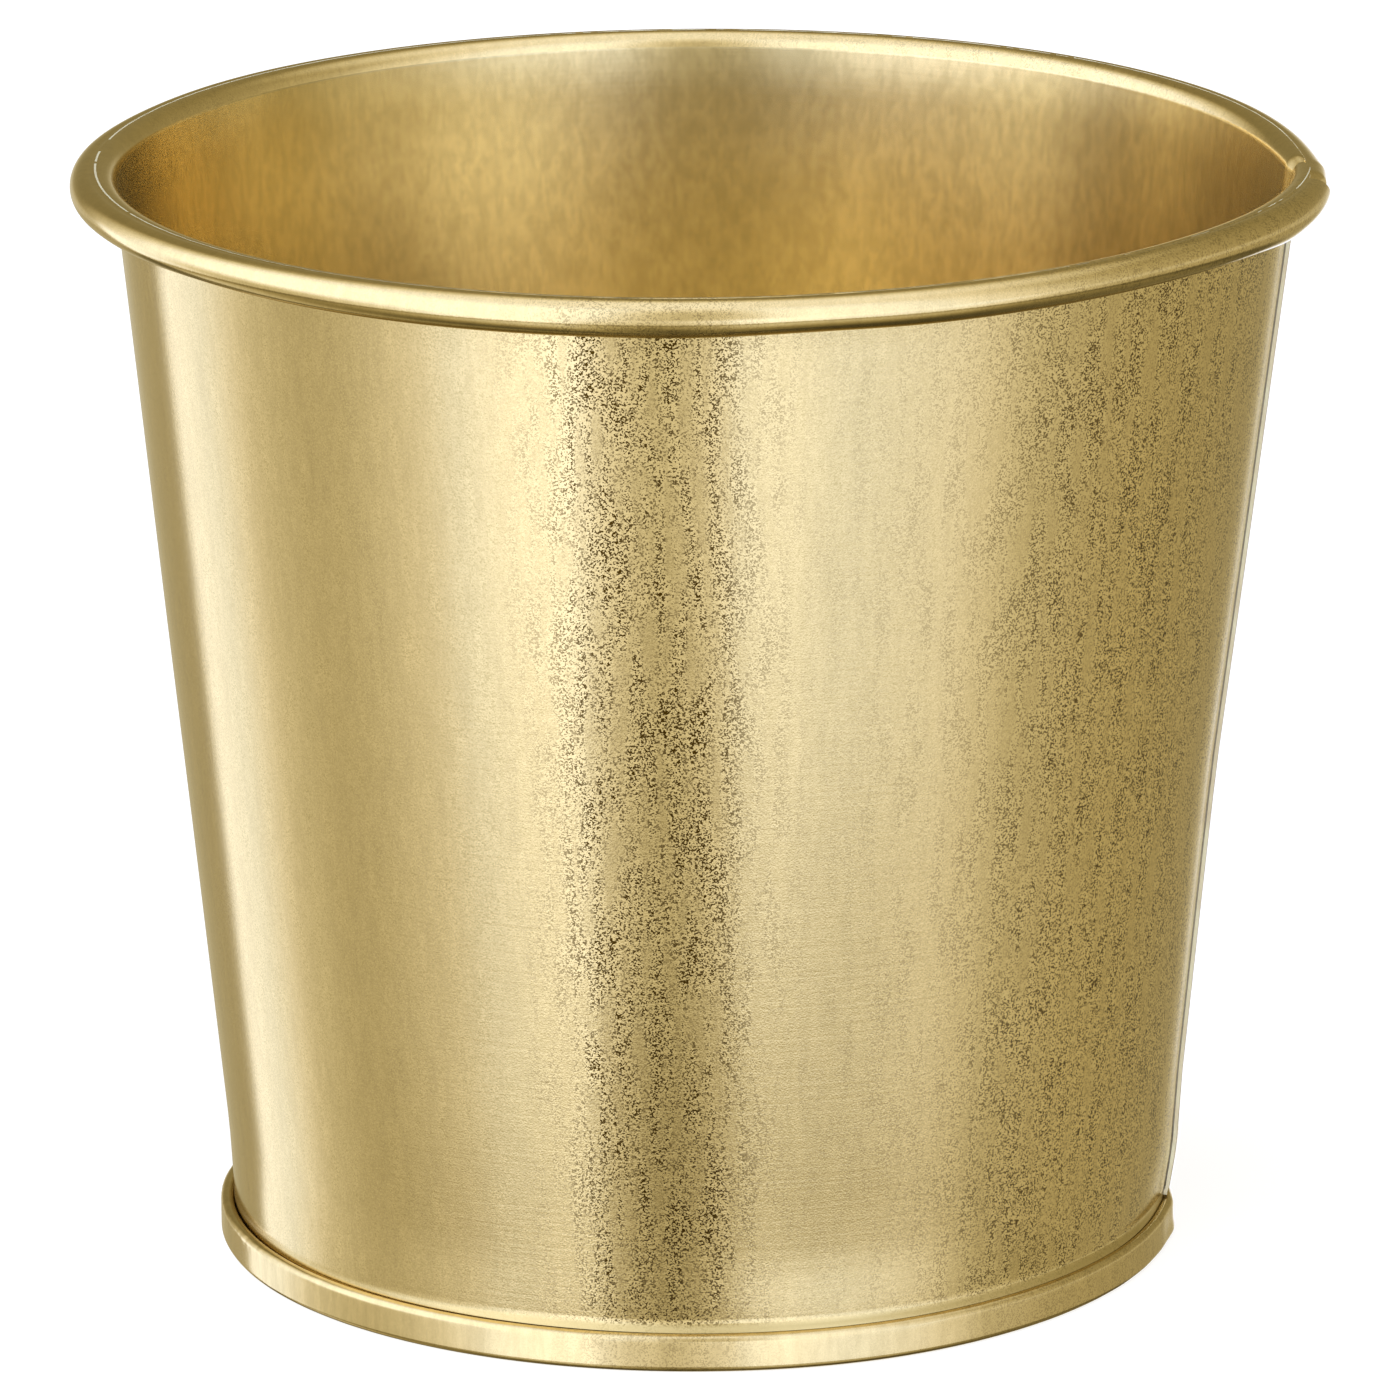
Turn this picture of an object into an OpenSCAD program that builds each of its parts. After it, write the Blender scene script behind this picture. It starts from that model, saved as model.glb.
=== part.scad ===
// Conical sheet-metal planter pot: one rolled wall sheet with a curled rim and a lap seam,
// closed by a pressed base pan that is folded to the wall in a double seam.
// Frame: +Z up, origin on the ground at the centre of the base. The lap seam is on the +X side.

/* [Overall] */
// Outer diameter over the curled rim
rim_d = 137; // [118:0.5:165]
// Overall height, from the ground to the top of the rim
pot_h = 122.8; // [95:0.2:150]
// Outer diameter of the band round the base
foot_d = 108; // [85:0.5:130]
// Thickness of the sheet metal
sheet = 0.45; // [0.35:0.01:0.55]

/* [Curled rim] */
// Height of the curl, over its rolled section
curl_d = 4.1; // [3.2:0.1:5]
// Width of the flat on top, between the flare and the curl
rim_flat = 0.4; // [0.2:0.05:1]
// How far the curl is rolled past its top, in degrees
curl_turn = 232; // [200:1:245]

/* [Base seam] */
// Height of the folded band round the base
seam_h = 4.25; // [3.8:0.05:6]
// Gap between the folded layers
fold_gap = 0.08; // [0.04:0.01:0.12]
// Inside radius of the two bottom corners of the band
foot_bend = 0.3; // [0.2:0.05:0.4]

/* [Base pan] */
// Height of the underside of the floor above the ground
floor_rise = 3.2; // [2.4:0.1:6]
// Inside radius of the bend between the floor and its upstand
floor_bend = 0.5; // [0.2:0.05:0.8]

/* [Lap seam] */
// Width of the overlap, measured at the rim
lap_w = 6; // [4:0.5:10]
// Length round the rim over which the outer layer steps out over the inner one
joggle_w = 4; // [2:0.5:6]
// Thickness of the adhesive film between the two layers
film = 0.08; // [0.05:0.01:0.12]
// Gap left between the overlap and the band round the base
lap_clear = 0.2; // [0.1:0.05:1]
// Direction of the inner layer's free edge, in degrees from +X towards +Y
edge_dir = -3; // [-20:1:20]
// Open slot between the inner layer's free edge and the joggle, in degrees
edge_slot = 0.3; // [0.2:0.1:0.6]

/* [Hidden] */
$fn = 128;
brass = "#c8aa5a";
brass_dark = "#b4964a";
adhesive_grey = "#8d8a80";
compound_tan = "#a39c8c";

// Turn between two neighbouring points of a bend, at most, in degrees
bend_step = 12;
// Neighbouring sectors of the lap seam run into each other by this angle, so that they join
weld = 0.05;
// Each sector of the lap seam ends this much short of the one before, as sheared edges do
stagger = 0.04;

// The base seam is five layers of sheet: from the outside in, the pan's band, the wall's hook,
// the pan's hook, the wall itself and the pan's upstand. Each radius is to a layer's outer face
layer = sheet + fold_gap;
foot_r = foot_d / 2;
wall_hook_r = foot_r - layer;
pan_hook_r = foot_r - 2 * layer;
wall_r = foot_r - 3 * layer;
upstand_r = foot_r - 4 * layer;
wall_in_r = wall_r - sheet;
// A sheet that is folded back over one other layer bends round this inside radius
fold_in = sheet / 2 + fold_gap;
fold_out = fold_in + sheet;
// Each hook reaches from its own fold to the centre of the other sheet's fold
fold_low_z = layer + fold_out;
fold_top_z = seam_h - fold_out;

// The curl's outer circle, and the flare's, which lies rim_flat nearer the axis
curl_r = curl_d / 2;
curl_c = [rim_d / 2 - curl_r, pot_h - curl_r];
flare_c = curl_c - [rim_flat, 0];

// The wall's inner face is the tangent from its foot to the flare
rise = flare_c - [wall_in_r, seam_h];
wall_tilt = atan2(rise[0], rise[1]) - asin(curl_r / norm(rise));
lap_low_z = seam_h + lap_clear;

// The lap seam, as angles round the axis
lap_step = sheet + film;
rim_circle = PI * rim_d;
lap_start = edge_dir - 360 * lap_w / rim_circle;
joggle_start = edge_dir + edge_slot;
joggle_end = edge_dir + 360 * joggle_w / rim_circle;
joggle_steps = 3;
joggle_part = (joggle_end - joggle_start) / joggle_steps;

// ---- Sections, with X as the distance from the axis and Y as the height ----
// A path runs along one face of the sheet. Each of its points is [position, direction], where
// the direction points through the sheet towards its other face

// Points of a bend round c, from angle a0 to a1. through is -1 where the sheet lies inside it
function bend(c, r, a0, a1, through = -1) =
    let (n = ceil(abs(a1 - a0) / bend_step))
    [for (i = [0:n])
        let (a = a0 + (a1 - a0) * i / n, out = [cos(a), sin(a)])
        [c + r * out, through * out]];

// The outline of the material between depths d0 and d1 behind a path
function outline(path, d0, d1) = concat(
    [for (p = path) p[0] + d0 * p[1]],
    [for (i = [len(path) - 1:-1:0]) path[i][0] + d1 * path[i][1]]);

// The hook and the lower fold, from the hook's top down and round to the wall's inner face
wall_hook_path = concat(
    [[[wall_hook_r, fold_top_z], [-1, 0]]],
    bend([wall_r + fold_in, fold_low_z], fold_out, 0, -180));

// A point on the wall's inner face at height z above the seam
function wall_point(z) =
    [[wall_in_r + (z - seam_h) * tan(wall_tilt), z], [cos(wall_tilt), -sin(wall_tilt)]];

// The flare, the flat on top and the curl, whose free edge can be trimmed back
function rim_path(trim = 0) = concat(
    bend(flare_c, curl_r, 180 - wall_tilt, 90),
    bend(curl_c, curl_r, 90, 90 - curl_turn + 360 * trim / (PI * curl_d)));

// The whole wall sheet, mitred where it leaves the seam
wall_path = concat(
    wall_hook_path,
    [[[wall_in_r, seam_h], [1, -tan(wall_tilt / 2)]]],
    rim_path());

// The part of the wall sheet that is lapped, trimmed back at both ends
function lap_path(trim) = concat([wall_point(lap_low_z + trim)], rim_path(trim));

// The base pan's foot, from the upstand's inner face round to the outer band
foot_out = foot_bend + sheet;
foot_path = concat(
    bend([upstand_r + foot_bend, foot_out], foot_out, 180, 270),
    bend([foot_r - foot_out, foot_out], foot_out, 270, 360));

// The whole base pan, along its underside and outside, from the axis to the end of its hook
pan_path = concat(
    [[[0, floor_rise], [0, 1]]],
    bend([upstand_r - sheet - floor_bend, floor_rise - floor_bend], floor_bend, 90, 0, 1),
    foot_path,
    bend([foot_r - fold_out, fold_top_z], fold_out, 0, 180),
    [[[pan_hook_r - sheet, fold_low_z], [1, 0]]]);

// The sealing compound, between the foot's inside and the wall's lower fold
compound_outline = concat(
    [[upstand_r, fold_low_z]],
    [for (p = foot_path) p[0] + sheet * p[1]],
    [[foot_r - sheet, fold_low_z]],
    [for (p = bend([wall_r + fold_in, fold_low_z], fold_out, 0, -180)) p[0]]);

// ---- Solids ----

// Sweeps an outline round the axis, from angle a0 to angle a1
module sweep(outline, a0, a1) {
    rotate([0, 0, a0])
        rotate_extrude(angle = a1 - a0)
            polygon(outline);
}

// The space in which the lap seam replaces the plain wall, from the free edge to the joggle's end
module seam_notch() {
    reach = rim_d;
    translate([0, 0, lap_low_z])
        linear_extrude(pot_h)
            polygon([[0, 0], reach * [cos(edge_dir), sin(edge_dir)],
                reach * [cos(joggle_end), sin(joggle_end)]]);
}

// The wall sheet with its curl and hook, rolled once round and lapped over itself
module wall_sheet() {
    color(brass) {
        difference() {
            rotate_extrude() polygon(outline(wall_path, 0, sheet));
            seam_notch();
        }
        // The outer layer, from its free edge to the joggle
        sweep(outline(lap_path(stagger), lap_step, lap_step + sheet), lap_start, joggle_start + weld);
        // The joggle brings the outer layer back in line with the wall
        for (i = [0:joggle_steps - 1]) {
            step = lap_step * (1 - (i + 0.5) / joggle_steps);
            start = joggle_start + i * joggle_part;
            path = lap_path((i + 2) * stagger);
            sweep(outline(path, step, step + sheet), start, start + joggle_part + weld);
        }
    }
}

// The base pan, pressed from one disc and folded round the wall's hook
module base_pan() {
    color(brass_dark)
        rotate_extrude() polygon(outline(pan_path, 0, sheet));
}

// The adhesive film between the two layers of the lap seam
module lap_seam_adhesive() {
    film_path = [wall_point(lap_low_z + stagger), rim_path()[0]];
    color(adhesive_grey)
        sweep(outline(film_path, sheet, lap_step), lap_start, edge_dir);
}

// The ring of sealing compound at the bottom of the base seam
module base_seam_compound() {
    color(compound_tan)
        rotate_extrude() polygon(compound_outline);
}

wall_sheet();
base_pan();
lap_seam_adhesive();
base_seam_compound();
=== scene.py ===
import math

import bmesh
import bpy
from mathutils import Matrix, Vector, noise


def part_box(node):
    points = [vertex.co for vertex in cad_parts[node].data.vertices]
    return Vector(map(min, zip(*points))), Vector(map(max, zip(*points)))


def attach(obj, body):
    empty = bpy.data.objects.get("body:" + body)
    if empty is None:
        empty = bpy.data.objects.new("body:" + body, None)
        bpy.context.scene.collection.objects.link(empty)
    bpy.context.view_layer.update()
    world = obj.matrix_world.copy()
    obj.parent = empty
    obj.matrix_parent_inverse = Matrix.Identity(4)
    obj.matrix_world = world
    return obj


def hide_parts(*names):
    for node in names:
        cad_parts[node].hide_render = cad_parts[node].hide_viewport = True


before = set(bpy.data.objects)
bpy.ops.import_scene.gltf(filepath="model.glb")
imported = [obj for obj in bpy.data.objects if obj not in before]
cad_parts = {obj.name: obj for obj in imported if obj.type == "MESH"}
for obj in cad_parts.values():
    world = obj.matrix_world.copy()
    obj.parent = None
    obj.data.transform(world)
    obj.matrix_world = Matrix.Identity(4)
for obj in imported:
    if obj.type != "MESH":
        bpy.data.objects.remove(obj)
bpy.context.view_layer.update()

# A planter pot of brass-coloured sheet metal: one rolled wall sheet with a curled rim and a lap
# seam, folded at its foot to a pressed base pan. Both sheets are built here again as close meshes,
# with the joggle, the free edges, the burrs and the slight out-of-round of a real rolled pot.
# Lengths are in millimetres until a mesh is made, and angles are in degrees from +X towards +Y.

MM = 0.001


# ---- Sizes: of the whole, from the frame's boxes, and of the sheet and its bends ----

wall_low, wall_high = (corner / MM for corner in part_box("wall_sheet"))
pan_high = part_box("base_pan")[1] / MM
film_low, film_high = (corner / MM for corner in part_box("lap_seam_adhesive"))

RIM_R = -wall_low.x
POT_H = wall_high.z
FOOT_R = pan_high.x
SEAM_H = pan_high.z
SHEET = 0.45
LAYER = wall_low.z                  # one sheet and the gap to the next one in the base seam
FOLD_GAP = LAYER - SHEET
CURL_R = 2.05
RIM_FLAT = 0.4
CURL_TURN = 232
FOOT_BEND = 0.3
FLOOR_BEND = 0.5
FLOOR_RISE = 3.2
FILM = 0.08
LAP_STEP = SHEET + FILM

WALL_HOOK_R = FOOT_R - LAYER
PAN_HOOK_R = FOOT_R - 2 * LAYER
WALL_R = FOOT_R - 3 * LAYER
UPSTAND_R = FOOT_R - 4 * LAYER
WALL_IN_R = WALL_R - SHEET
FOLD_IN = SHEET / 2 + FOLD_GAP
FOLD_OUT = FOLD_IN + SHEET
FOLD_LOW_Z = LAYER + FOLD_OUT
FOLD_TOP_Z = SEAM_H - FOLD_OUT
CURL_C = (RIM_R - CURL_R, POT_H - CURL_R)
FLARE_C = (CURL_C[0] - RIM_FLAT, CURL_C[1])
LAP_LOW_Z = film_low.z

rise = (FLARE_C[0] - WALL_IN_R, FLARE_C[1] - SEAM_H)
TILT = math.atan2(*rise) - math.asin(CURL_R / math.hypot(*rise))
FILM_TOP_R = FLARE_C[0] - CURL_R * math.cos(TILT) + LAP_STEP * math.cos(TILT)
EDGE_DIR = math.degrees(math.asin(film_high.y / (WALL_IN_R + SHEET)))
LAP_END = math.degrees(math.asin(film_low.y / FILM_TOP_R))
JOGGLE_START = 0.34                 # where the wall begins to step out over its inner free edge
JOGGLE_END = EDGE_DIR + 0.3         # where it is out, with an open slot between it and the edge


# ---- How the real pot departs from a true round one ----

def smooth(x, low, high):
    """0 below low, 1 above high, and an even curve between them."""
    t = min(max((x - low) / (high - low), 0.0), 1.0)
    return t * t * (3 - 2 * t)


def hump(angle, centre, width):
    """1 at the centre, falling off on both sides like a bell."""
    away = (angle - centre + 180) % 360 - 180
    return math.exp(-((away / width) ** 2))


def seam_shape(angle):
    """How much of the kink at the lap seam is felt in this direction."""
    away = (angle - EDGE_DIR + 180) % 360 - 180
    return math.exp(-((away / 26) ** 2)) if away < 0 else math.exp(-away / 9)


def ripple(angle, z, size):
    """Soft unevenness, the same at both ends of a turn. size is the width of a ripple in mm."""
    a = math.radians(angle)
    return noise.noise(Vector((math.cos(a), math.sin(a), z / RIM_R)) * (RIM_R / size))


def foot_out(angle):
    """How far the base seam lies outside its true circle."""
    sides = -0.22 * hump(angle, 0, 60) + 0.12 * hump(angle, -150, 40) - 0.4 * hump(angle, 168, 10)
    front = 0.3 * hump(angle, -68, 18)
    at_lap = 0.15 * hump(angle, -8, 2.5) - 0.5 * hump(angle, 2, 6)
    return sides + front + at_lap


FILLET_LOW_Z = SEAM_H + 0.05        # the fillet's lower edge hangs just clear of the band
FILLET_TOP_Z = 5.2


def fillet_out(angle, z):
    """How far lacquer and flux fill the corner between the wall and the band, and the bulge that
    the lap makes just above it."""
    filled = 0.12 + 0.55 * min(1.6 * hump(angle, -60, 45), 1)
    corner = filled * (1 - smooth(z, 4.2, FILLET_TOP_Z)) * smooth(z, SEAM_H, FILLET_LOW_Z)
    bulge = 0.8 * hump(angle, -1, 8) * smooth(z, 4.3, 5.5) * (1 - smooth(z, 8, 18))
    return corner + bulge


def wall_out(angle, z):
    """How far the wall lies outside its true cone. It follows the base seam at its foot."""
    kink = 0.28 + 1.65 * min(max((z - 55) / 62, 0), 1) + 0.2 * math.exp(-z / 12)
    pulled_in = (0.25 + 0.58 * z / POT_H) * hump(angle, 180, 50)
    body = kink * seam_shape(angle) - pulled_in + 0.05 * ripple(angle, z, 30)
    above_seam = smooth(z, 3, 14)
    return above_seam * body + (1 - above_seam) * foot_out(angle) + fillet_out(angle, z)


def bead_out(turn):
    """How far the curled rim lies outside its true circle, where turn runs from the wall sheet's
    inner free edge, on top of the lap, once round to its outer one, 360 degrees on."""
    away = max(EDGE_DIR - turn, 0)
    on_top = 2.1 * math.exp(-((away / 28) ** 3))
    beneath = 1.4 * math.exp(-max(360 - away, 0) / 8)
    dents = 0.5 * hump(turn, 157, 14) + 0.15 * hump(turn, 90, 16)
    return on_top + beneath - dents + 0.04 * ripple(turn, 0, 25)


def bead_turned(turn, share):
    """How many degrees the rolling has dragged the curl round at the lap. share runs along the
    section, from 0 at the flare to 1 at the curl's free edge."""
    away = min(abs(EDGE_DIR - turn), abs(EDGE_DIR - turn - 360))
    return (-8 + 5 * share) * math.exp(-((away / 22) ** 2))


def bead_squeeze(angle):
    """The share of its height that the curl has lost to uneven rolling."""
    front = 0.05 * hump(angle, -55, 25) - 0.03 * hump(angle, -85, 18) + 0.06 * hump(angle, -79, 8)
    sides = 0.12 * hump(angle, -150, 24) - 0.05 * hump(angle, -14, 12)
    return front + sides + 0.08 * hump(angle, 90, 60)


def bead_loose(angle):
    """Where the curl's free edge has sprung open, from 0 to 1."""
    return max(hump(angle, -19, 7), 0.75 * hump(angle, -153, 12))


def crest_burr(angle):
    """Height of the burred ridge on top of the rim."""
    return 0.05 + 0.03 * ripple(angle, 0, 2.5) + 0.03 * ripple(angle, 3, 0.7)


# ---- Sections ----
# A point is (radius, height, across, up), where (across, up) points through the sheet

def bend(centre, radius, start, end, count, through=-1):
    """Points of a bend round a centre, in count steps from angle start to angle end. through is -1
    where the sheet lies inside the bend."""
    points = []
    for i in range(count + 1):
        a = math.radians(start + (end - start) * i / count)
        points.append((centre[0] + radius * math.cos(a), centre[1] + radius * math.sin(a),
                       through * math.cos(a), through * math.sin(a)))
    return points


def wall_face(z):
    """A point of the wall's inner face."""
    return (WALL_IN_R + (z - SEAM_H) * math.tan(TILT), z, math.cos(TILT), -math.sin(TILT))


def hook_path():
    """The wall's hook and its lower fold, from the hook's top round to the wall's inner face."""
    path = [(WALL_HOOK_R, FOLD_TOP_Z, -1, 0)]
    path += bend((WALL_R + FOLD_IN, FOLD_LOW_Z), FOLD_OUT, 0, -180, 12)
    path += [(WALL_IN_R, z, 1, 0) for z in (2.4, 3.5)]
    path += [wall_face(z) for z in (SEAM_H, FILLET_LOW_Z, LAP_LOW_Z)]
    return path


FLARE_STEPS = 12
CREST_STEPS = 10
CURL_STEPS = 44
WALL_TOP_Z = FLARE_C[1] + CURL_R * math.sin(TILT)
WALL_LEVELS = [4.7, 5.0, 5.3, 5.7, 6.2, 7, 8, 9.5, 11.5, 14]
WALL_LEVELS += [14 + (WALL_TOP_Z - 14) * i / 20 for i in range(1, 20)]


def upper_path(angle):
    """The wall's inner face above the seam, the flare, the burred crest and the curl."""
    path = [wall_face(z) for z in WALL_LEVELS]
    path += bend(FLARE_C, CURL_R, 180 - math.degrees(TILT), 92, FLARE_STEPS)
    for i in range(1, CREST_STEPS):
        across = i / CREST_STEPS
        burr = crest_burr(angle) * math.exp(-(((across - 0.25) / 0.17) ** 2))
        path.append((FLARE_C[0] + across * RIM_FLAT, POT_H - 0.05 + burr, 0, -1))
    loose = bead_loose(angle)
    turn = CURL_TURN - 50 * loose
    squeeze = bead_squeeze(angle)
    for i, (r, z, across, up) in enumerate(bend(CURL_C, CURL_R, 86, 90 - turn, CURL_STEPS)):
        sprung = 0.28 * loose * smooth(i, 26, CURL_STEPS)
        path.append((r, POT_H - (POT_H - z) * (1 - squeeze) - sprung, across, up))
    return path


# Points along the wall's section: where its upper part, its crest and its curl begin
UPPER_POINT = len(hook_path())
CREST_POINT = UPPER_POINT + len(WALL_LEVELS) + FLARE_STEPS + 1
CURL_POINT = CREST_POINT + CREST_STEPS
LAP_POINT = UPPER_POINT - 1         # the lap seam's lowest point
LAST_POINT = UPPER_POINT + len(upper_path(0)) - 1
BURRED_POINTS = range(CREST_POINT, CREST_POINT + 2)


def wall_column(angle, depth, pinch=0.0, lifted=0.0, tucked=0.0):
    """Both faces of the wall sheet in one direction, as two lists of points in space.

    depth moves the sheet outwards, as in the lap seam, pinch rounds a cut edge off, lifted raises
    the end at the base seam, and tucked is how much tighter the curl is rolled. share runs from 0
    on the wall to 1 on the curl."""
    path = hook_path() + upper_path(angle)
    inner, outer = [], []
    for i, (r, z, across, up) in enumerate(path):
        share = smooth(i, CREST_POINT - 6, CURL_POINT)
        turn = angle + share * bead_turned(angle, smooth(i, CREST_POINT, LAST_POINT))
        shift = (1 - share) * wall_out(angle, z) + share * bead_out(turn)
        a = math.radians(turn)
        edge = 0.1 if i == LAST_POINT else pinch
        if i == LAP_POINT:
            z += lifted
        inward = depth + tucked * share
        for face, d in ((inner, inward + edge), (outer, inward + SHEET - edge)):
            rr = r + d * across + shift
            face.append((rr * math.cos(a), rr * math.sin(a), z + d * up))
    return inner, outer


# ---- Meshes ----

class Skin:
    """Builds a closed sheet-metal mesh from columns with an inner and an outer row of points."""

    def __init__(self, cut, bare=()):
        """cut is the number of the material that the cut edges show. bare lists the steps along
        the section where the inner face shows it too."""
        self.mesh = bmesh.new()
        self.cut = cut
        self.bare = bare

    def column(self, faces):
        """Adds the points of a column and returns its two rows of vertices."""
        return [[self.mesh.verts.new(Vector(p) * MM) for p in row] for row in faces]

    def join(self, a, b, low, high):
        """Fills the sheet between two columns, from point low to point high, with both cut edges."""
        for row in (0, 1):
            for i in range(low, high):
                face = self.mesh.faces.new((a[row][i], a[row][i + 1], b[row][i + 1], b[row][i]))
                face.material_index = self.cut if row == 0 and i in self.bare else 0
        for i in (low, high):
            self.mesh.faces.new((a[0][i], b[0][i], b[1][i], a[1][i])).material_index = self.cut

    def end(self, a, low, high):
        """Closes the sheet's cut end at a column."""
        for i in range(low, high):
            face = self.mesh.faces.new((a[0][i], a[0][i + 1], a[1][i + 1], a[1][i]))
            face.material_index = self.cut

    def piece(self, name, materials):
        """Turns the mesh into an object with smooth faces and sharp cut edges."""
        bmesh.ops.recalc_face_normals(self.mesh, faces=self.mesh.faces)
        data = bpy.data.meshes.new(name)
        self.mesh.to_mesh(data)
        self.mesh.free()
        for material in materials:
            data.materials.append(material)
        data.shade_smooth()
        data.set_sharp_from_angle(angle=math.radians(40))
        made = bpy.data.objects.new(name, data)
        bpy.context.collection.objects.link(made)
        return made


def steps(start, end, step):
    """Evenly spaced angles from start to end, without the last one."""
    count = max(1, round(abs(end - start) / step))
    return [start + (end - start) * i / count for i in range(count)]


TURN_STEP = 0.75                    # degrees between two columns of a plain stretch
CUT_STEP = 0.06                     # and between a cut edge and where its rounding begins
TURN_END = JOGGLE_START - 360
LOWER_END = LAP_END - 360


def join_round(skin):
    """Joins the wall sheet once round, from its inner free edge to the joggle, and returns its last
    column. Under the joggle the hook runs on to close its ring."""
    angles = [EDGE_DIR, EDGE_DIR - CUT_STEP] + steps(EDGE_DIR - 0.3, -14, 0.3)
    angles += steps(-14, -346, TURN_STEP) + steps(-346, TURN_END, 0.4) + [TURN_END]
    columns = [skin.column(wall_column(a, 0, 0.08 if a == EDGE_DIR else 0)) for a in angles]
    for a, b in zip(columns, columns[1:]):
        skin.join(a, b, 0, LAST_POINT)
    skin.end(columns[0], LAP_POINT, LAST_POINT)

    under = [skin.column(wall_column(a, 0)) for a in steps(TURN_END, EDGE_DIR - 360, 0.4)[1:]]
    ring = [columns[-1]] + under + [columns[0]]
    for a, b in zip(ring, ring[1:]):
        skin.join(a, b, 0, LAP_POINT)
    return columns[-1]


def join_lap(skin, column):
    """Steps the wall sheet out over its inner edge, and runs it on to its outer free edge."""
    joggle_end = JOGGLE_END - 360
    angles = steps(TURN_END, joggle_end, 0.2)[1:] + steps(joggle_end, LOWER_END + CUT_STEP, 0.3)
    angles += [LOWER_END + CUT_STEP, LOWER_END]
    lap = [column]
    for a in angles:
        out = smooth(-a, -TURN_END, -joggle_end)
        pinch = 0.03 if a == LOWER_END else 0
        lap.append(skin.column(wall_column(a, LAP_STEP * out, pinch, 0.15 * out, 0.45 * out)))
    for a, b in zip(lap, lap[1:]):
        skin.join(a, b, LAP_POINT, LAST_POINT)
    skin.end(lap[-1], LAP_POINT, LAST_POINT)


def make_wall(materials):
    """The wall sheet. Its materials are those of its outside, its inside and its cut edges."""
    skin = Skin(cut=2, bare=BURRED_POINTS)
    join_lap(skin, join_round(skin))
    # The outer layer has no hook, so the points of its columns' hooks are left over
    for vert in [v for v in skin.mesh.verts if not v.link_faces]:
        skin.mesh.verts.remove(vert)
    wall = skin.piece("wall_sheet_skin", materials)
    for face in wall.data.polygons:
        if face.material_index == 0 and lines_inside(face):
            face.material_index = 1
        elif face.material_index == 2 and face.normal.z > 0.1 and not burred(face):
            face.material_index = 0
    return wall


def direction_of(face):
    """The direction from the axis to a face's centre, in degrees."""
    return math.degrees(math.atan2(face.center.y, face.center.x))


def lines_inside(face):
    """Whether a face of the wall sheet lines the inside of the pot."""
    angle = direction_of(face)
    r, z = math.hypot(face.center.x, face.center.y) / MM, face.center.z / MM
    inward = face.normal.x * face.center.x + face.normal.y * face.center.y < 0
    return inward and FLOOR_RISE < z < POT_H - 1.6 and r - wall_out(angle, z) < FLARE_C[0] - 0.5


def burred(face):
    """Whether the burred line on the rim's crest is bare at this face."""
    angle = direction_of(face)
    worn = 0.7 * ripple(angle, 5, 6) + 0.5 * ripple(angle, 9, 1.2) + 0.3 * hump(angle, -140, 50)
    return worn - 0.5 * hump(angle, -30, 26) > -0.3


def pan_path():
    """The base pan's underside and outside, from the axis to the end of its hook."""
    rings = (0.5, 4, 10, 18, 26, 34, 41, 46, 49)
    path = [(r, FLOOR_RISE, 0, 1) for r in rings]
    path += bend((UPSTAND_R - SHEET - FLOOR_BEND, FLOOR_RISE - FLOOR_BEND), FLOOR_BEND, 90, 0, 8, 1)
    corner = FOOT_BEND + SHEET
    path += bend((UPSTAND_R + FOOT_BEND, corner), corner, 180, 270, 8)
    path += bend((FOOT_R - corner, corner), corner, 270, 360, 12)
    path += [(FOOT_R, corner + (FOLD_TOP_Z - corner) * i / 6, -1, 0) for i in range(1, 6)]
    path += bend((FOOT_R - FOLD_OUT, FOLD_TOP_Z), FOLD_OUT, 0, 180, 20)
    path += [(PAN_HOOK_R - SHEET, FOLD_LOW_Z, 1, 0)]
    return path


RIBS = 282          # fine upright ribs round the band's shoulder


def band_marks(angle, z):
    """What the seaming rollers left: ripples on the band's shoulder, a bulge below the lap."""
    height = smooth(z, 2.6, 3.9)
    strong = 0.35 + 0.65 * hump(angle, -158, 16)
    ribs = 0.03 * math.sin(math.radians(angle) * RIBS) + 0.07 * ripple(angle, z, 1.6)
    corner = 0.15 * hump(angle, -6, 7) * (1 - smooth(z, 0.3, 2.2))
    return height * (strong * ribs - 0.25 * hump(angle, 2, 8)) + corner + 0.03 * ripple(angle, z, 5)


def pan_column(angle, path):
    """Both faces of the base pan in one direction, as two lists of points in space."""
    a = math.radians(angle)
    inner, outer = [], []
    for r, z, across, up in path:
        near_seam = smooth(r, 40, UPSTAND_R - SHEET)
        outside = smooth(r, WALL_HOOK_R - 0.05, FOOT_R - 0.2)
        shift = near_seam * foot_out(angle) + outside * band_marks(angle, z)
        bow = 0.12 * (1 - near_seam) * ripple(angle, 0, 60)
        for face, d in ((inner, 0), (outer, SHEET)):
            rr = r + d * across + shift
            face.append((rr * math.cos(a), rr * math.sin(a), z + d * up + bow * smooth(r, 0, 10)))
    return inner, outer


def make_pan(materials):
    """The base pan, from the floor through the foot ring and the band to the hook."""
    skin = Skin(cut=1)
    path = pan_path()
    columns = [skin.column(pan_column(angle, path)) for angle in steps(0, 360, TURN_STEP)]
    for a, b in zip(columns, columns[1:] + columns[:1]):
        skin.join(a, b, 0, len(path) - 1)
    # The floor's middle is closed with two flat faces in place of the bore the columns leave
    bore_r = 0.6 * MM
    bore = [f for f in skin.mesh.faces if all(math.hypot(*v.co.xy) < bore_r for v in f.verts)]
    bmesh.ops.delete(skin.mesh, geom=bore, context="FACES_ONLY")
    for row in (0, 1):
        skin.mesh.faces.new([column[row][0] for column in columns])
    return skin.piece("base_pan_skin", materials)


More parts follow.
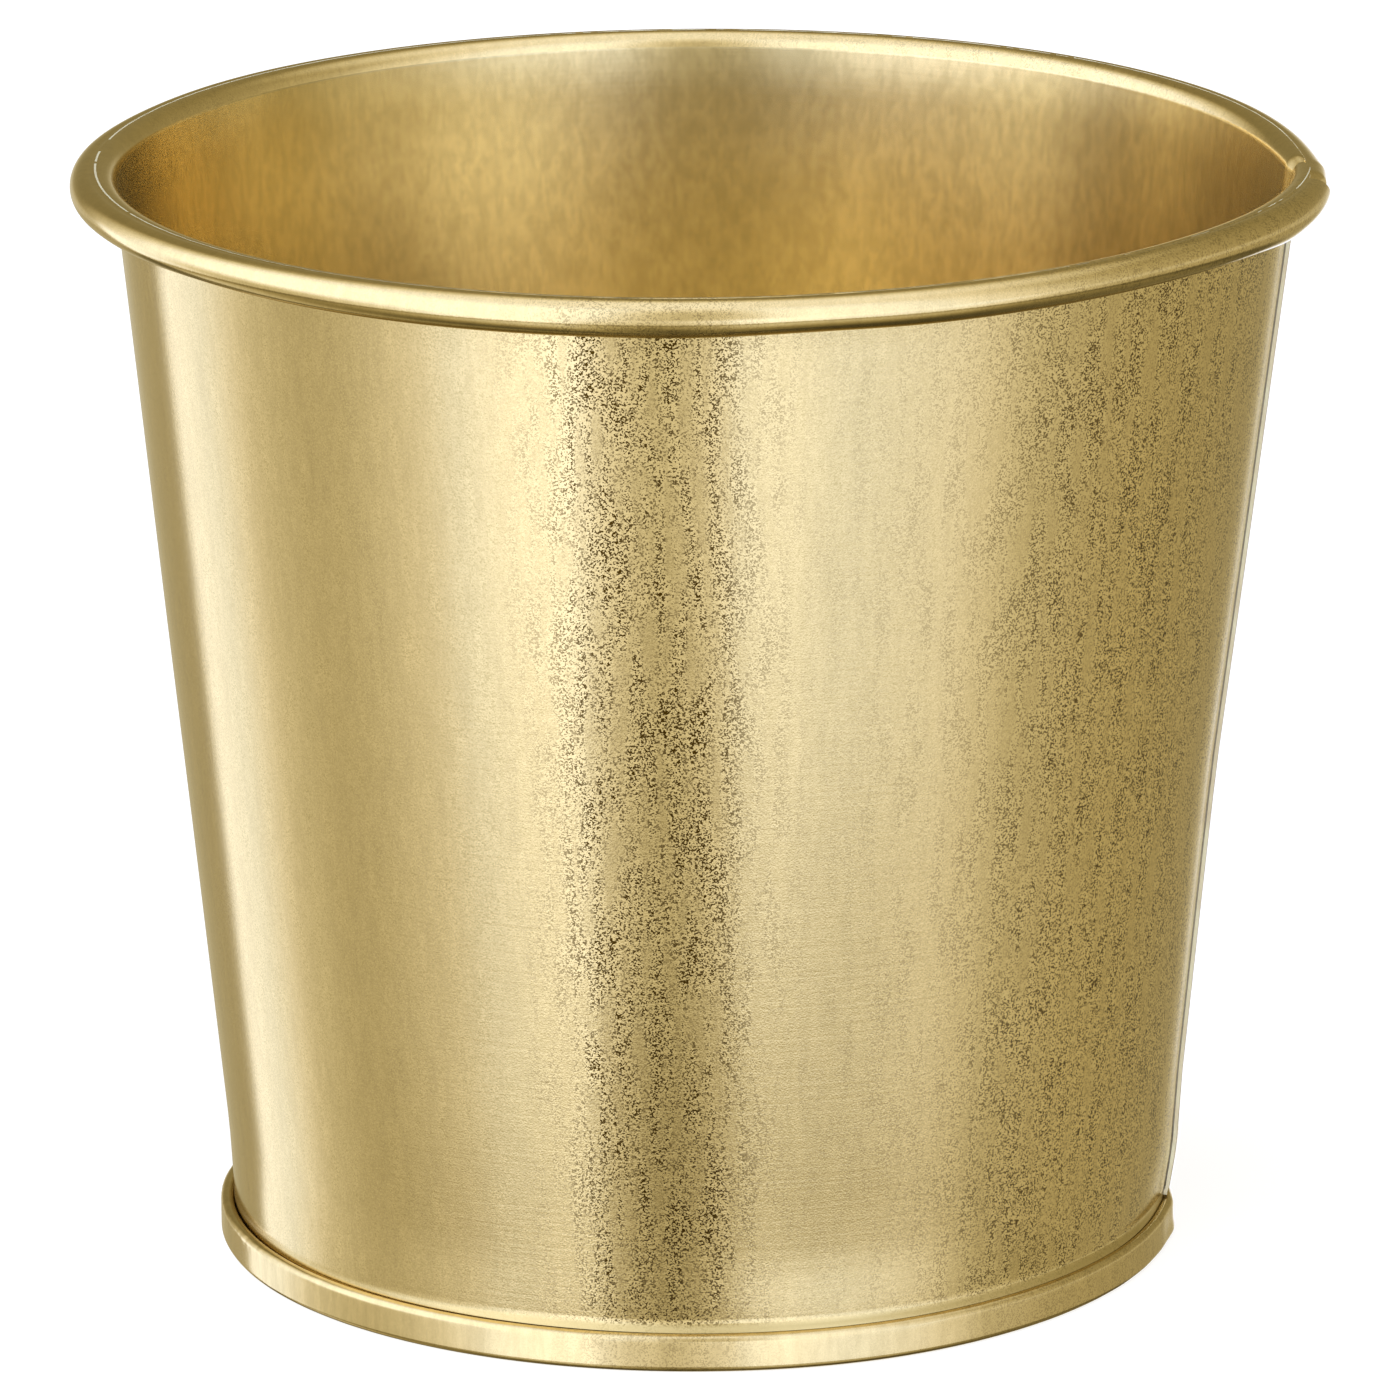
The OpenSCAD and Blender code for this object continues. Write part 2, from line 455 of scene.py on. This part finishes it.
def make_film(materials):
    """The adhesive film between the two layers of the lap seam."""
    skin = Skin(cut=0)
    low, height = LAP_LOW_Z + 0.2, WALL_TOP_Z - LAP_LOW_Z - 0.4
    levels = [low + height * i / 24 for i in range(25)]
    columns = []
    for angle in steps(EDGE_DIR - 0.15, LAP_END + 0.04, 0.4) + [LAP_END + 0.04]:
        a = math.radians(angle)
        faces = []
        for d in (SHEET, LAP_STEP):
            row = []
            for z in levels:
                r, z, across, up = wall_face(z)
                rr = r + d * across + wall_out(angle, z)
                row.append((rr * math.cos(a), rr * math.sin(a), z + d * up))
            faces.append(row)
        columns.append(skin.column(faces))
    for a, b in zip(columns, columns[1:]):
        skin.join(a, b, 0, len(levels) - 1)
    for column in (columns[0], columns[-1]):
        skin.end(column, 0, len(levels) - 1)
    return skin.piece("lap_seam_film", materials)


# ---- Materials ----

class Graph:
    """Adds nodes to a node tree, each with its inputs and settings in one call."""

    def __init__(self, tree):
        self.tree = tree
        tree.nodes.clear()

    def add(self, kind, inputs=(), **settings):
        """Adds a node. inputs holds (socket name or number, value or another node's socket)."""
        node = self.tree.nodes.new(kind)
        for key, value in settings.items():
            setattr(node, key, value)
        for key, value in dict(inputs).items():
            socket = node.inputs[key]
            if isinstance(value, bpy.types.NodeSocket):
                self.tree.links.new(value, socket)
            else:
                socket.default_value = value
        return node

    def math(self, operation, *values):
        """A maths node's result."""
        return self.add("ShaderNodeMath", enumerate(values), operation=operation).outputs[0]

    def scaled(self, vector, scale):
        """A vector multiplied by a scale for each axis."""
        sockets = {0: vector, 1: scale}
        return self.add("ShaderNodeVectorMath", sockets, operation="MULTIPLY").outputs[0]

    def cloud(self, vector, scale, detail=2.0, rough=0.5):
        """Noise from 0 to 1. scale is the number of features in a unit of the vector."""
        inputs = {"Vector": vector, "Scale": scale, "Detail": detail, "Roughness": rough}
        return self.add("ShaderNodeTexNoise", inputs).outputs["Fac"]

    def grain(self, vector, scale):
        """A random value from 0 to 1 for each small cell. scale is the number of cells in a unit."""
        cells = self.add("ShaderNodeTexVoronoi", {"Vector": vector, "Scale": scale})
        return self.add("ShaderNodeSeparateColor", {0: cells.outputs["Color"]}).outputs[0]

    def between(self, value, low, high, to_low=0.0, to_high=1.0):
        """Maps a value from one range to another with a smooth step."""
        inputs = {"Value": value, "From Min": low, "From Max": high}
        inputs.update({"To Min": to_low, "To Max": to_high})
        return self.add("ShaderNodeMapRange", inputs, interpolation_type="SMOOTHSTEP").outputs[0]

    def mix(self, factor, a, b):
        """A colour mixed from two."""
        node = self.add("ShaderNodeMix", data_type="RGBA")
        for socket, value in zip((node.inputs[0], node.inputs[6], node.inputs[7]), (factor, a, b)):
            if isinstance(value, bpy.types.NodeSocket):
                self.tree.links.new(value, socket)
            else:
                socket.default_value = value
        return node.outputs[2]

    def ramp(self, value, stops):
        """A colour ramp from (position, colour) stops."""
        node = self.add("ShaderNodeValToRGB", {0: value})
        band = node.color_ramp
        band.elements[0].position, band.elements[1].position = stops[0][0], stops[-1][0]
        band.elements[0].color, band.elements[1].color = stops[0][1], stops[-1][1]
        for position, colour in stops[1:-1]:
            band.elements.new(position).color = colour
        return node.outputs[0]


# How densely the outside is speckled, as (direction, amount): painted dark reflection, densest where
# the wall, seen from the camera, mirrors the studio's dim gaps
SPECKLED_AS_PAINTED_REFLECTION = [
    (-180, 0.3), (-140, 0.15), (-126, 0.25), (-112, 0.1), (-105, 0.5), (-101.5, 1.0), (-88, 1.0),
    (-84, 0.5), (-78, 0.25), (-62, 0.4), (-52, 0.85), (-30, 0.95), (-14, 0.8), (-4, 0.3), (60, 0.7),
    (110, 0.2), (150, 0.5), (180, 0.3)]
# How much painted shade darkens the inside in each direction
PAINTED_SHADE_INSIDE = [
    (-180, 0.1), (-160, 0.1), (-150, 0.2), (-120, 0.2), (0, 0.0), (66, 0.0), (72, 0.2), (77, 0.6),
    (84, 0.7), (92, 0.3), (100, 0.2), (110, 0.45), (122, 0.8), (138, 0.95), (148, 0.7), (156, 0.2),
    (180, 0.1)]
# How much darker and rougher the corner above the band at the foot is, in each direction
CORNER_TONED = [(-180, 0.2), (-130, 0.4), (-105, 0.9), (-60, 0.8), (0, 0.9), (40, 0.5), (180, 0.2)]


def times(colour, factors):
    """A colour multiplied channel by channel, with full alpha."""
    return tuple(min(c * k, 1.0) for c, k in zip(colour, factors)) + (1,)


def around(g, place, stops):
    """An amount that changes with the direction from the axis, from (direction, amount) stops."""
    axes = g.add("ShaderNodeSeparateXYZ", {0: place}).outputs
    turn = g.math("ADD", g.math("DIVIDE", g.math("ARCTAN2", axes[1], axes[0]), 2 * math.pi), 0.5)
    return g.ramp(turn, [((at + 180) / 360, (amount,) * 3 + (1,)) for at, amount in stops])


def height_of(g, place):
    """The height above the ground, in mm."""
    return g.add("ShaderNodeSeparateXYZ", {0: place}).outputs[2]


SPANGLE = 6.6                       # grains in a millimetre
CURL_BAND = (POT_H - 4.6, POT_H - 3.6)      # between these heights the spangle thins to the curl's
CORNER_TONE_BAND = (4.7, 5.4)           # and between these the darker tone above the foot fades out
FAINT_GRAIN = (0.34, 0.26, 0.09, 1)
# the colour of the painted shade inside the pot
PAINTED_SHADE_TONE = (0.3, 0.23, 0.08, 1)
CORNER_TONE = (0.6, 0.47, 0.2, 1)
LACQUER_TINT = (1.0, 0.98, 0.92, 1)


def spangle(g, place, tone, colour, specks, crowd):
    """Mixes a spangle of pale and dark grains into a tone. It crowds together in upright streaks,
    and it is thinner on the curl. The grain is the sheet's own, but how densely it gathers in each
    direction is painted dark reflection."""
    cells = g.grain(place, SPANGLE)
    on_curl = g.between(height_of(g, place), *CURL_BAND, 1.0, 0.4)
    faint = g.math("MULTIPLY", g.math("MULTIPLY", cells, 0.6 * specks), on_curl)
    tone = g.mix(faint, tone, FAINT_GRAIN)
    # painted dark reflection: how densely the spangle gathers in each direction
    painted_reflection_specks = g.math("MULTIPLY", around(g, place, SPECKLED_AS_PAINTED_REFLECTION), specks)
    painted_reflection_specks = g.math("MULTIPLY", painted_reflection_specks, g.between(crowd, -0.1, 0.05, 0.3, 1.0))
    painted_reflection_specks = g.math("MULTIPLY", painted_reflection_specks, on_curl)
    grains = g.between(g.math("SUBTRACT", cells, g.math("MULTIPLY", crowd, 1.3)), 0.28, 0.42)
    dark = times(colour, (0.1, 0.07, 0.015))
    pale = times(colour, (1.1, 1.12, 1.14))
    return g.mix(painted_reflection_specks, tone, g.mix(grains, dark, pale))


def painted_inside_shade(g, place, tone):
    """Mixes painted shade into the inside's tone: dark patches in some directions,
    and a darker band under the rim.
    """
    shade_under_rim = g.between(height_of(g, place), POT_H - 15, POT_H - 5, 0.0, 0.3)
    painted_shade = g.math("ADD", around(g, place, PAINTED_SHADE_INSIDE), shade_under_rim)
    return g.mix(g.math("MULTIPLY", painted_shade, 0.55), tone, PAINTED_SHADE_TONE)


def streaky(g, place, colour, soft, stretch):
    """A colour that varies a little in soft upright streaks. stretch is 1 for round patches, and
    less the longer they are."""
    streaked = g.cloud(g.scaled(place, (1, 1, stretch)), 0.8, 4.0, 0.65)
    dim = times(colour, (1 - soft, 1 - 1.05 * soft, 1 - 1.3 * soft))
    return g.mix(g.between(streaked, 0.3, 0.7), dim, times(colour, (1 + soft,) * 3))


def brass_relief(g, place, upright, specks, streaks):
    """The sheet's fine relief in mm: the spangle's grain, the rolling lines and the streaks."""
    rolling = g.cloud(g.scaled(place, (0.02, 0.02, 1)), 2.2, 2.0)
    relief = g.math("MULTIPLY", g.cloud(place, 5.8, 0.0), 0.004 * specks)
    relief = g.math("ADD", relief, g.math("MULTIPLY", rolling, 0.003 * streaks))
    return g.math("ADD", relief, g.math("MULTIPLY", upright, 0.003 * streaks))


def new_material(name):
    """A new material with its graph and the place on the object, in mm."""
    material = bpy.data.materials.new(name)
    material.use_nodes = True
    g = Graph(material.node_tree)
    return material, g, g.scaled(g.add("ShaderNodeTexCoord").outputs["Object"], (1 / MM,) * 3)


def finish_shader(g, relief, inputs):
    """Adds the shader with its inputs, the bump of a relief in mm, and the material's output."""
    bump = g.add("ShaderNodeBump", {"Height": relief, "Strength": 1.0, "Distance": MM})
    shader = g.add("ShaderNodeBsdfPrincipled", {**inputs, "Normal": bump.outputs[0]})
    g.add("ShaderNodeOutputMaterial", {"Surface": shader.outputs[0]})


def brass(name, colour, haze, soft, specks=1.0, streaks=1.0, toned_corner=False):
    """Brass-coloured lacquered sheet. haze is the lacquer's roughness, soft is how much its tone
    varies in soft upright streaks, specks is how much of the outside's speckling it has: grain of
    the sheet's own, with painted dark reflection in how densely it gathers by direction. The last
    argument tells whether the sheet is darker and rougher in the corner above the band at the foot."""
    material, g, place = new_material(name)
    upright = g.cloud(g.scaled(place, (1, 1, 0.15)), 0.6, 3.0, 0.6)
    if specks:
        crowd = g.math("MULTIPLY", g.math("SUBTRACT", upright, 0.5), 0.5 * streaks)
        tone = spangle(g, place, streaky(g, place, colour, soft, 0.22), colour, specks, crowd)
    else:
        # the inside gets painted shade in place of the spangle
        tone = painted_inside_shade(g, place, streaky(g, place, colour, soft, 0.45))
    rough = haze
    if toned_corner:
        low = g.between(height_of(g, place), *CORNER_TONE_BAND, 1.0, 0.0)
        corner_share = g.math("MULTIPLY", around(g, place, CORNER_TONED), low)
        tone = g.mix(corner_share, tone, CORNER_TONE)
        rough = g.math("ADD", haze, g.math("MULTIPLY", corner_share, 0.2))
    relief = brass_relief(g, place, upright, specks, streaks)
    finish_shader(g, relief, {
        "Base Color": tone, "Metallic": 1.0, "Roughness": rough, "Specular Tint": LACQUER_TINT})
    return material


def sealant(name, colour, speck):
    """Cured adhesive or sealing compound: matt, a little lumpy, with a grain of filler."""
    material, g, place = new_material(name)
    filler = g.cloud(place, 4.0, 3.0)
    lumps = g.cloud(place, 0.8, 2.0)
    tone = g.mix(g.between(filler, 0.35, 0.65), colour + (1,), speck + (1,))
    relief = g.math("ADD", g.math("MULTIPLY", filler, 0.02), g.math("MULTIPLY", lumps, 0.08))
    rough = g.between(lumps, 0.3, 0.7, 0.55, 0.8)
    finish_shader(g, relief, {"Base Color": tone, "Metallic": 0.0, "Roughness": rough})
    return material


outer_brass = brass("brass_outside", (0.83, 0.655, 0.325), haze=0.15, soft=0.05, toned_corner=True)
inner_brass = brass("brass_inside", (0.9, 0.752, 0.418), haze=0.23, soft=0.11, specks=0.0)
pan_brass = brass("brass_base", (0.76, 0.6, 0.3), haze=0.17, soft=0.08, specks=0.35, streaks=0.5)
bare_edge = brass("bare_cut_edge", (1.0, 0.93, 0.74), haze=0.6, soft=0.1, specks=0.1, streaks=0.5)
adhesive = sealant("adhesive_film", (0.27, 0.26, 0.22), (0.36, 0.34, 0.29))
compound = sealant("sealing_compound", (0.37, 0.33, 0.26), (0.26, 0.24, 0.2))


# ---- Pieces ----

wall = make_wall([outer_brass, inner_brass, bare_edge])
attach(wall, "root")
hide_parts("wall_sheet")

pan = make_pan([pan_brass, bare_edge])
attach(pan, "root")
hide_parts("base_pan")

film = make_film([adhesive])
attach(film, "root")
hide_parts("lap_seam_adhesive")

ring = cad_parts["base_seam_compound"]
ring.data.materials.clear()
ring.data.materials.append(compound)


# ---- Floor, light and camera ----

def make_floor():
    """A pale floor that the metal doesn't mirror, so that the studio lights it from below too."""
    bpy.ops.mesh.primitive_circle_add(vertices=96, radius=6, fill_type="NGON", location=(0, 0, 0))
    floor = bpy.context.object
    floor.name = "floor"
    material = bpy.data.materials.new("pale_floor")
    material.use_nodes = True
    g = Graph(material.node_tree)
    matt = g.add("ShaderNodeBsdfDiffuse", {"Color": (0.42, 0.42, 0.41, 1)})
    glow = g.add("ShaderNodeEmission", {"Color": (1, 1, 1, 1), "Strength": 0.74})
    both = g.add("ShaderNodeAddShader", {0: matt.outputs[0], 1: glow.outputs[0]})
    g.add("ShaderNodeOutputMaterial", {"Surface": both.outputs[0]})
    floor.data.materials.append(material)
    floor.visible_glossy = False
    floor.visible_shadow = False


# Brightness round the studio at and below the pot, as (direction, brightness)
LOW_RING = [
    (-180, 0.62), (-170, 0.65), (-162, 0.77), (-150, 1.02), (-137, 1.45), (-125, 1.8),
    (-116, 1.85), (-114, 1.25), (-106, 0.92), (-98, 0.7), (-90, 0.85), (-84, 1.1), (-78, 1.55),
    (-70, 1.55), (-60, 1.35), (-34, 1.15), (-16, 0.66), (0, 0.52), (25, 0.43), (60, 0.37),
    (69, 0.55), (76, 1.35), (86, 1.4), (94, 0.53), (110, 0.44), (131, 0.41), (133.5, 1.6),
    (146, 1.35), (157, 1.15), (165, 0.8), (180, 0.62)]
# The same above the pot's rim
HIGH_RING = [
    (-180, 1.95), (-150, 1.98), (-125, 2.0), (-109, 1.5), (-98, 0.8), (-90, 0.65), (-82, 0.9),
    (-70, 1.7), (-50, 1.5), (-20, 0.85), (-8, 0.58), (20, 0.4), (60, 0.3), (120, 0.25),
    (138, 0.95), (150, 1.45), (165, 1.75), (180, 1.95)]
# How much of the low ring's light is left at each slope below the horizon
BELOW = [
    (-90, 0.1), (-65, 0.2), (-50, 0.4), (-39, 0.55), (-34, 0.32), (-30.4, 0.3), (-28.3, 0.9),
    (-26.5, 1.05), (0, 1.1)]
# The tint of each brightness: dim parts are warm, the softboxes are a little cool
TINTS = [
    (0.0, (0, 0, 0)), (0.3, (0.32, 0.275, 0.145)), (0.5, (0.53, 0.475, 0.31)),
    (0.75, (0.76, 0.73, 0.62)), (1.0, (0.99, 0.98, 0.97)), (1.2, (1.14, 1.17, 1.3)),
    (1.4, (1.27, 1.4, 1.8)), (1.8, (1.7, 1.8, 2.2))]
FULL = 2.0          # the brightness at a ramp's white end
ZENITH = 1.25
# The slopes in degrees over which the low ring gives way to the high one, and that to the zenith
TO_HIGH = (-14, 10)
TO_ZENITH = (35, 75)
STRIP = 0.15        # what a light strip just under the horizon adds
STRIP_SLOPE = -9
STRIP_HALF = (3, 8)     # half the width of its full part and of its whole


def grey(stops, low, high):
    """Ramp stops from (angle, brightness) stops, for a ramp that runs from angle low to high."""
    return [((at - low) / (high - low), (level / FULL,) * 3 + (1,)) for at, level in stops]


def studio_level(g, turn, slope):
    """The studio's brightness in a direction. turn runs from 0 to 1, and slope is in radians."""
    low = g.math("MULTIPLY", g.ramp(turn, grey(LOW_RING, -180, 180)), FULL)
    below = g.math("DIVIDE", g.math("ADD", slope, math.pi / 2), math.pi / 2)
    low = g.math("MULTIPLY", low, g.math("MULTIPLY", g.ramp(below, grey(BELOW, -90, 0)), FULL))
    high = g.math("MULTIPLY", g.ramp(turn, grey(HIGH_RING, -180, 180)), FULL)
    top = g.between(slope, *(math.radians(a) for a in TO_ZENITH))
    high = g.math("MULTIPLY", high, g.math("SUBTRACT", 1, top))
    high = g.math("ADD", high, g.math("MULTIPLY", top, ZENITH))
    up = g.between(slope, *(math.radians(a) for a in TO_HIGH))
    low = g.math("MULTIPLY", low, g.math("SUBTRACT", 1, up))
    level = g.math("ADD", low, g.math("MULTIPLY", high, up))
    from_strip = g.math("ABSOLUTE", g.math("SUBTRACT", slope, math.radians(STRIP_SLOPE)))
    strip = g.between(from_strip, *(math.radians(a) for a in STRIP_HALF), STRIP, 0.0)
    return g.math("ADD", level, strip)


def make_studio():
    """Softboxes and dim gaps all round the pot, as a world that changes with direction only."""
    world = bpy.data.worlds.new("studio")
    bpy.context.scene.world = world
    world.use_nodes = True
    g = Graph(world.node_tree)
    direction = g.add("ShaderNodeTexCoord").outputs["Generated"]
    parts = g.add("ShaderNodeSeparateXYZ", {0: direction}).outputs
    turn = g.math("ADD", g.math("DIVIDE", g.math("ARCTAN2", parts[1], parts[0]), 2 * math.pi), 0.5)
    level = studio_level(g, turn, g.math("ARCSINE", parts[2]))
    tints = [(at / FULL, tuple(c / FULL for c in colour) + (1,)) for at, colour in TINTS]
    light = g.ramp(g.math("DIVIDE", level, FULL), tints)

    lit = g.add("ShaderNodeBackground", {"Color": light, "Strength": FULL})
    plain = g.add("ShaderNodeBackground", {"Color": (1, 1, 1, 1), "Strength": 1.0})
    seen = g.add("ShaderNodeLightPath").outputs["Is Camera Ray"]
    both = g.add("ShaderNodeMixShader", {0: seen, 1: lit.outputs[0], 2: plain.outputs[0]})
    g.add("ShaderNodeOutputWorld", {"Surface": both.outputs[0]})


def make_camera():
    """A long lens, a little above the rim, level with the middle of the pot."""
    pitch = math.radians(15.77)
    roll = math.radians(-0.395)
    distance = 1.2034
    aim = Vector((0.0005, 0, 0.0606))
    data = bpy.data.cameras.new("camera")
    data.sensor_width = 36
    data.lens = 277
    camera = bpy.data.objects.new("camera", data)
    bpy.context.collection.objects.link(camera)
    back = Vector((0, -math.cos(pitch), math.sin(pitch)))
    turned = back.to_track_quat("Z", "Y").to_matrix().to_4x4() @ Matrix.Rotation(roll, 4, "Z")
    camera.matrix_world = Matrix.Translation(aim + back * distance) @ turned
    bpy.context.scene.camera = camera


make_floor()
make_studio()
make_camera()
bpy.context.scene.view_settings.view_transform = "Standard"
